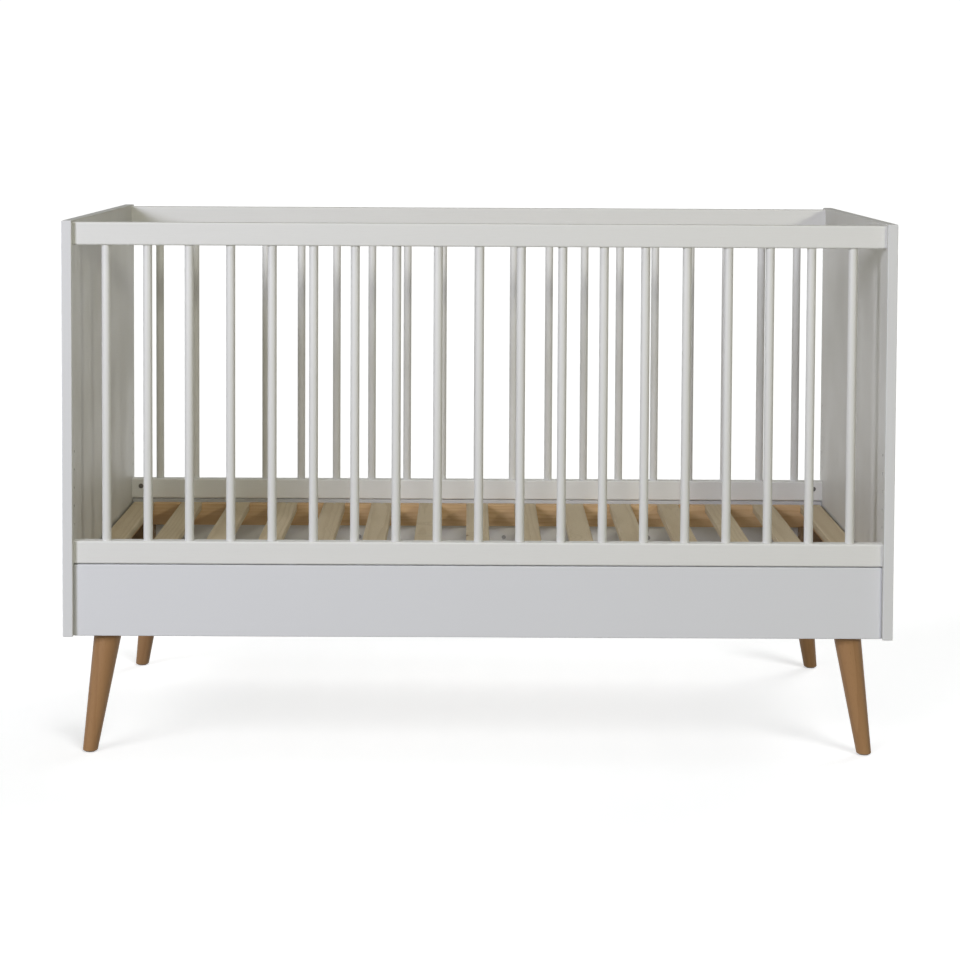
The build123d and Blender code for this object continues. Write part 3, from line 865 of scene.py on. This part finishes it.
deselect_all()
bpy.ops.mesh.primitive_cylinder_add(
    vertices=40, radius=BAR_RADIUS, depth=BAR_LENGTH, end_fill_type="NGON", location=(0, 0, 0),
)
bar = active_piece("bar_pattern")
bpy.ops.object.mode_set(mode="EDIT")
pick_edges(bar, lambda a, b: abs(a.z - b.z) < TINY)
bpy.ops.mesh.bevel(offset=BAR_EASE, segments=3, affect="EDGES")
bpy.ops.object.mode_set(mode="OBJECT")
settle(bar)
bar_gap = BAR_PITCH - 2 * BAR_RADIUS
print("bar pitch", round(BAR_PITCH / MM, 1), "mm; gap between bars", round(bar_gap / MM, 1), "mm")

# %% Both rows of bars
for side in ("front", "back"):
    row = middle(f"{side}_bars")
    for index in range(BAR_COUNT):
        place = row + Vector(((index - (BAR_COUNT - 1) / 2) * BAR_PITCH, 0, 0))
        copy = moved_copy(bar, f"{side}_bar_{index + 1:02d}", Matrix.Translation(place))
        copy.data.materials.append(beech_upright)
        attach(copy, "frame")
        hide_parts(f"{side}_bars")
bpy.data.objects.remove(bar)
print("bars made:", 2 * BAR_COUNT)

# %% [markdown]
# ## The legs
#
# A leg is a straight taper, turned on a lathe, that leans outwards both ways. Its top is cut level
# to sit under the cot, its foot is cut level to stand on the floor, and the rim of the foot is
# sanded round so that it doesn't splinter. So it is made in that order: a tapered cylinder, longer
# than needed, is leaned over and cut by two level planes, and then the foot's rim is bevelled.
#
# The grain has to follow the lean. Each point of the finished leg is turned back to where it was
# on the lathe, and that place is stored on the mesh as an attribute that the wood reads.

# %% Leg sizes, its heights read from the design
LEG_TOP_R = 24.5 * MM
LEG_FOOT_R = 13.1 * MM
FOOT_EASE = 2.5 * MM
SPARE = 12.0 * MM
leg_low, leg_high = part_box("front_left_leg")
LEG_TOP_Z = leg_high.z
FOOT_Z = leg_low.z
LEG_TOP = Vector((-0.657, -0.322, LEG_TOP_Z))
LEG_FOOT = Vector((-0.688, -0.338, FOOT_Z))
lean = (LEG_TOP - LEG_FOOT).normalized()
print("leg leans", round(math.degrees(lean.angle(Vector((0, 0, 1)))), 1), "degrees")

# %% One leg
leg_length = (LEG_TOP - LEG_FOOT).length
narrowing = (LEG_TOP_R - LEG_FOOT_R) / leg_length
deselect_all()
bpy.ops.mesh.primitive_cone_add(
    vertices=64,
    radius1=LEG_FOOT_R - narrowing * SPARE,
    radius2=LEG_TOP_R + narrowing * SPARE,
    depth=leg_length + 2 * SPARE,
    end_fill_type="NGON",
    location=(0, 0, leg_length / 2),
)
leg = active_piece("leg_pattern")
lathe_to_cot = Matrix.Translation(LEG_FOOT) @ lean.to_track_quat("Z", "Y").to_matrix().to_4x4()
leg.matrix_world = lathe_to_cot @ Matrix.Translation((0, 0, leg_length / 2))
bpy.ops.object.transform_apply(location=True, rotation=True, scale=True)
bpy.ops.object.mode_set(mode="EDIT")
for level, way in ((LEG_TOP_Z, 1), (FOOT_Z, -1)):
    bpy.ops.mesh.select_all(action="SELECT")
    bpy.ops.mesh.bisect(
        plane_co=(0, 0, level), plane_no=(0, 0, way), use_fill=True, clear_outer=True,
    )
pick_faces(leg, lambda centre, normal: normal.z < -0.99)
bpy.ops.mesh.bevel(offset=FOOT_EASE, segments=5, affect="EDGES")
bpy.ops.object.mode_set(mode="OBJECT")
settle(leg)
print("leg has", len(leg.data.polygons), "faces")

# %% The grain that a leg or a slat stores
LATHE_X_IS_GRAIN = Matrix.Rotation(math.radians(90), 4, "Y")


def store_grain(piece, to_grain):
    """Keep, for each point, where it lies along and across the grain."""
    stored = piece.data.attributes.new("grain", "FLOAT_VECTOR", "POINT")
    for index, vertex in enumerate(piece.data.vertices):
        stored.data[index].vector = to_grain @ vertex.co


store_grain(leg, LATHE_X_IS_GRAIN @ lathe_to_cot.inverted())
grain_x = [value.vector[0] for value in leg.data.attributes["grain"].data]
print("the leg's grain runs for", round((max(grain_x) - min(grain_x)) / MM), "mm")

# %% Four legs, each from another part of the tree
random.seed(7)
legs = []
for side, flip_y in (("front", 1), ("back", -1)):
    for end, flip_x in (("left", 1), ("right", -1)):
        name = f"{side}_{end}_leg"
        copy = moved_copy(leg, name + "_turned", Matrix.Diagonal((flip_x, flip_y, 1, 1)))
        if flip_x * flip_y < 0:
            copy.data.flip_normals()
        further = random.uniform(0.5, 3.0)
        aside = random.uniform(-0.006, 0.006)
        deeper = random.uniform(-0.006, 0.006)
        for value in copy.data.attributes["grain"].data:
            value.vector = Vector(value.vector) + Vector((further, aside, deeper))
        copy.data.materials.append(leg_oak)
        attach(copy, "frame")
        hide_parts(name)
        legs.append(copy)
bpy.data.objects.remove(leg)
print("legs made:", [piece.name for piece in legs])

# %% [markdown]
# Two kinds of light treat the legs on their own. The foot light's shadow is cast by the legs
# alone, so that the cot's body draws no second shadow. The boxes beyond the ends leave the legs
# out, because so much light from the side would make their brown too pale.

# %% Which lights reach the legs
foot_light.light_linking.blocker_collection = light_group("shade_by_foot_light", legs)
all_but_legs = light_group("lit_by_end_boxes", [floor] + legs, "EXCLUDE")
for box in end_boxes:
    box.light_linking.receiver_collection = all_but_legs

# %% [markdown]
# ## The slats
#
# Fifteen flat pine slats carry the mattress. A planed slat has rounded edges, and it dries
# slightly cupped, its middle a hair lower than its edges. It is modelled from a cube: its long
# edges and its ends are bevelled, its two broad faces are inset, and the inner part of the top one
# is lowered. Each copy reads a different stretch of the tree.

# %% One slat
CUP = 0.35 * MM
LONG_EDGE = 2.2 * MM
END_EDGE = 0.8 * MM
CUP_BORDER = 6.0 * MM
MID_FACE = 0.1 * MM
slat_low, slat_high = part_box("slat_01")
SLAT_SIZE = slat_high - slat_low

deselect_all()
bpy.ops.mesh.primitive_cube_add(size=1.0, location=(0, 0, 0), scale=SLAT_SIZE)
slat = active_piece("slat_pattern")
bpy.ops.object.transform_apply(location=True, rotation=True, scale=True)
bpy.ops.object.mode_set(mode="EDIT")
pick_edges(slat, lambda a, b: abs(a.y - b.y) > 0.1)
bpy.ops.mesh.bevel(offset=LONG_EDGE, segments=4, affect="EDGES")
pick_edges(
    slat, lambda a, b: abs(a.y - b.y) < TINY and abs(a.y) > SLAT_SIZE.y / 2 - TINY)
bpy.ops.mesh.bevel(offset=END_EDGE, segments=2, affect="EDGES")
pick_faces(slat, lambda centre, normal: abs(normal.z) > 0.99)
bpy.ops.mesh.inset(thickness=CUP_BORDER, depth=0.0)
pick_faces(
    slat, lambda centre, normal: normal.z > 0.99 and centre.to_2d().length < MID_FACE)
bpy.ops.transform.translate(value=(0, 0, -CUP))
bpy.ops.object.mode_set(mode="OBJECT")
settle(slat, angle=50.0)
print("slat has", len(slat.data.polygons), "faces")

# %% All slats
SLAT_COUNT = 15
SLAT_GRAIN = Matrix.Rotation(math.radians(-90), 4, "Z")
random.seed(15)
for index in range(SLAT_COUNT):
    name = f"slat_{index + 1:02d}"
    copy = moved_copy(slat, name + "_planed", Matrix.Translation(middle(name)))
    further = random.uniform(2, 40)
    aside = random.uniform(-0.03, 0.03)
    deeper = random.uniform(-0.02, 0.03)
    tree_place = Matrix.Translation((further, aside, deeper))
    store_grain(copy, tree_place @ SLAT_GRAIN @ Matrix.Translation(-middle(name)))
    copy.data.materials.append(slat_pine)
    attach(copy, "mattress_base")
    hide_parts(name)
bpy.data.objects.remove(slat)
print("slats made:", SLAT_COUNT)

# %% [markdown]
# ## Finishes for the design's own pieces
#
# The panels, rails, blocks and fasteners already have their true shapes, eased edges included, so
# they keep them and only take a better finish.

# %% Dress the design's pieces
DARK_FASTENERS = ["side_screws", "barrel_nuts"]
ZINC_ENDINGS = ("screws", "bolts", "plates", "brads")
SIDES, ENDS = ("front", "back"), ("left", "right")
dressed = {
    board_upright: ["left_end_panel", "right_end_panel"],
    board_lengthways: ["front_lower_panel", "back_lower_panel"],
    beech_lengthways: [f"{side}_{level}_rail" for side in SIDES for level in ("top", "bottom")],
    rail_pine: ["base_front_rail", "base_back_rail"],
    rail_pine_short: ["base_left_rail", "base_right_rail"],
    block_wood: [f"{side}_{end}_corner_block" for side in SIDES for end in ENDS],
    board_crossways: ["left_leg_bearer", "right_leg_bearer"],
    zinc_plate: [
        name for name in nodes if name.endswith(ZINC_ENDINGS) and name not in DARK_FASTENERS
    ],
    dark_oxide: DARK_FASTENERS,
    nylon: ["foot_glides"],
}
for material, names in dressed.items():
    for name in names:
        for place in nodes[name].material_slots:
            place.material = material
print("dressed", sum(len(names) for names in dressed.values()), "design pieces")
